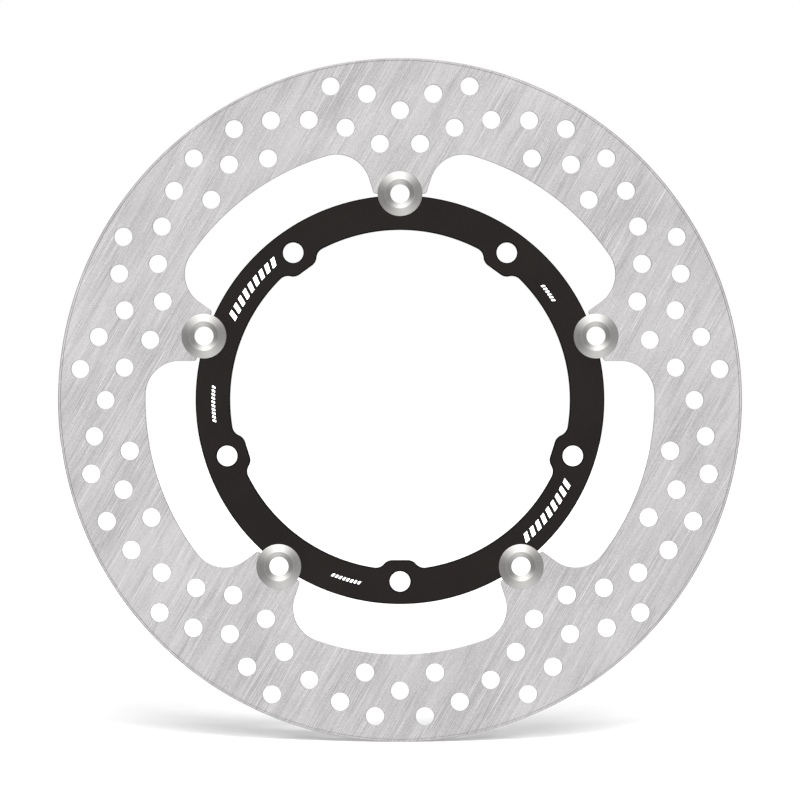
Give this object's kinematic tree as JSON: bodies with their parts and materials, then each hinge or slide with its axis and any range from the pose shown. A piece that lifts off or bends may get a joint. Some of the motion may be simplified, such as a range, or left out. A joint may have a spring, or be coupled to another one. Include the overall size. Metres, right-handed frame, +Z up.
{
  "type": "motorcycle floating brake disc",
  "caption": "Floating front brake disc: a drilled stainless brake band held by hollow drive bobbins on a black five-bolt carrier.",
  "frame": {"origin": "centre of the bolt circle, on the carrier's hub face", "axes": "+Y along the disc's axis towards the hub, +Z up through one drive bobbin, the outer side faces -Y"},
  "size_m": [0.282, 0.0108, 0.282],
  "materials": {
    "ground_stainless": "straight ground grain",
    "black_anodised": "satin black anodised",
    "turned_stainless": "fine turned",
    "washer_steel": "plain stamped",
    "spring_steel": "satin spring steel",
    "ring_steel": "dark phosphated"
  },
  "bodies": {
    "carrier": {"carrier": "black_anodised"},
    "band": {"brake_band": "ground_stainless"},
    "bobbin_1": {"drive_bobbin_1": "turned_stainless", "flat_washer_1": "washer_steel", "wave_washer_1": "spring_steel", "retaining_ring_1": "ring_steel"},
    "bobbin_2": {"drive_bobbin_2": "turned_stainless", "flat_washer_2": "washer_steel", "wave_washer_2": "spring_steel", "retaining_ring_2": "ring_steel"},
    "bobbin_3": {"drive_bobbin_3": "turned_stainless", "flat_washer_3": "washer_steel", "wave_washer_3": "spring_steel", "retaining_ring_3": "ring_steel"},
    "bobbin_4": {"drive_bobbin_4": "turned_stainless", "flat_washer_4": "washer_steel", "wave_washer_4": "spring_steel", "retaining_ring_4": "ring_steel"},
    "bobbin_5": {"drive_bobbin_5": "turned_stainless", "flat_washer_5": "washer_steel", "wave_washer_5": "spring_steel", "retaining_ring_5": "ring_steel"}
  },
  "joints": [
    {"name": "band_float", "type": "slide", "parent": "carrier", "child": "band", "axis": [0, 1, 0], "range_m": [-0.0002, 0.0002]},
    {"name": "bobbin_1_spin", "type": "hinge", "parent": "carrier", "child": "bobbin_1", "pos_m": [0, 0, 0.085], "axis": [0, 1, 0], "continuous": true},
    {"name": "bobbin_2_spin", "type": "hinge", "parent": "carrier", "child": "bobbin_2", "pos_m": [0.08084, 0, 0.02627], "axis": [0, 1, 0], "continuous": true},
    {"name": "bobbin_3_spin", "type": "hinge", "parent": "carrier", "child": "bobbin_3", "pos_m": [0.04996, 0, -0.06877], "axis": [0, 1, 0], "continuous": true},
    {"name": "bobbin_4_spin", "type": "hinge", "parent": "carrier", "child": "bobbin_4", "pos_m": [-0.04996, 0, -0.06877], "axis": [0, 1, 0], "continuous": true},
    {"name": "bobbin_5_spin", "type": "hinge", "parent": "carrier", "child": "bobbin_5", "pos_m": [-0.08084, 0, 0.02627], "axis": [0, 1, 0], "continuous": true}
  ]
}
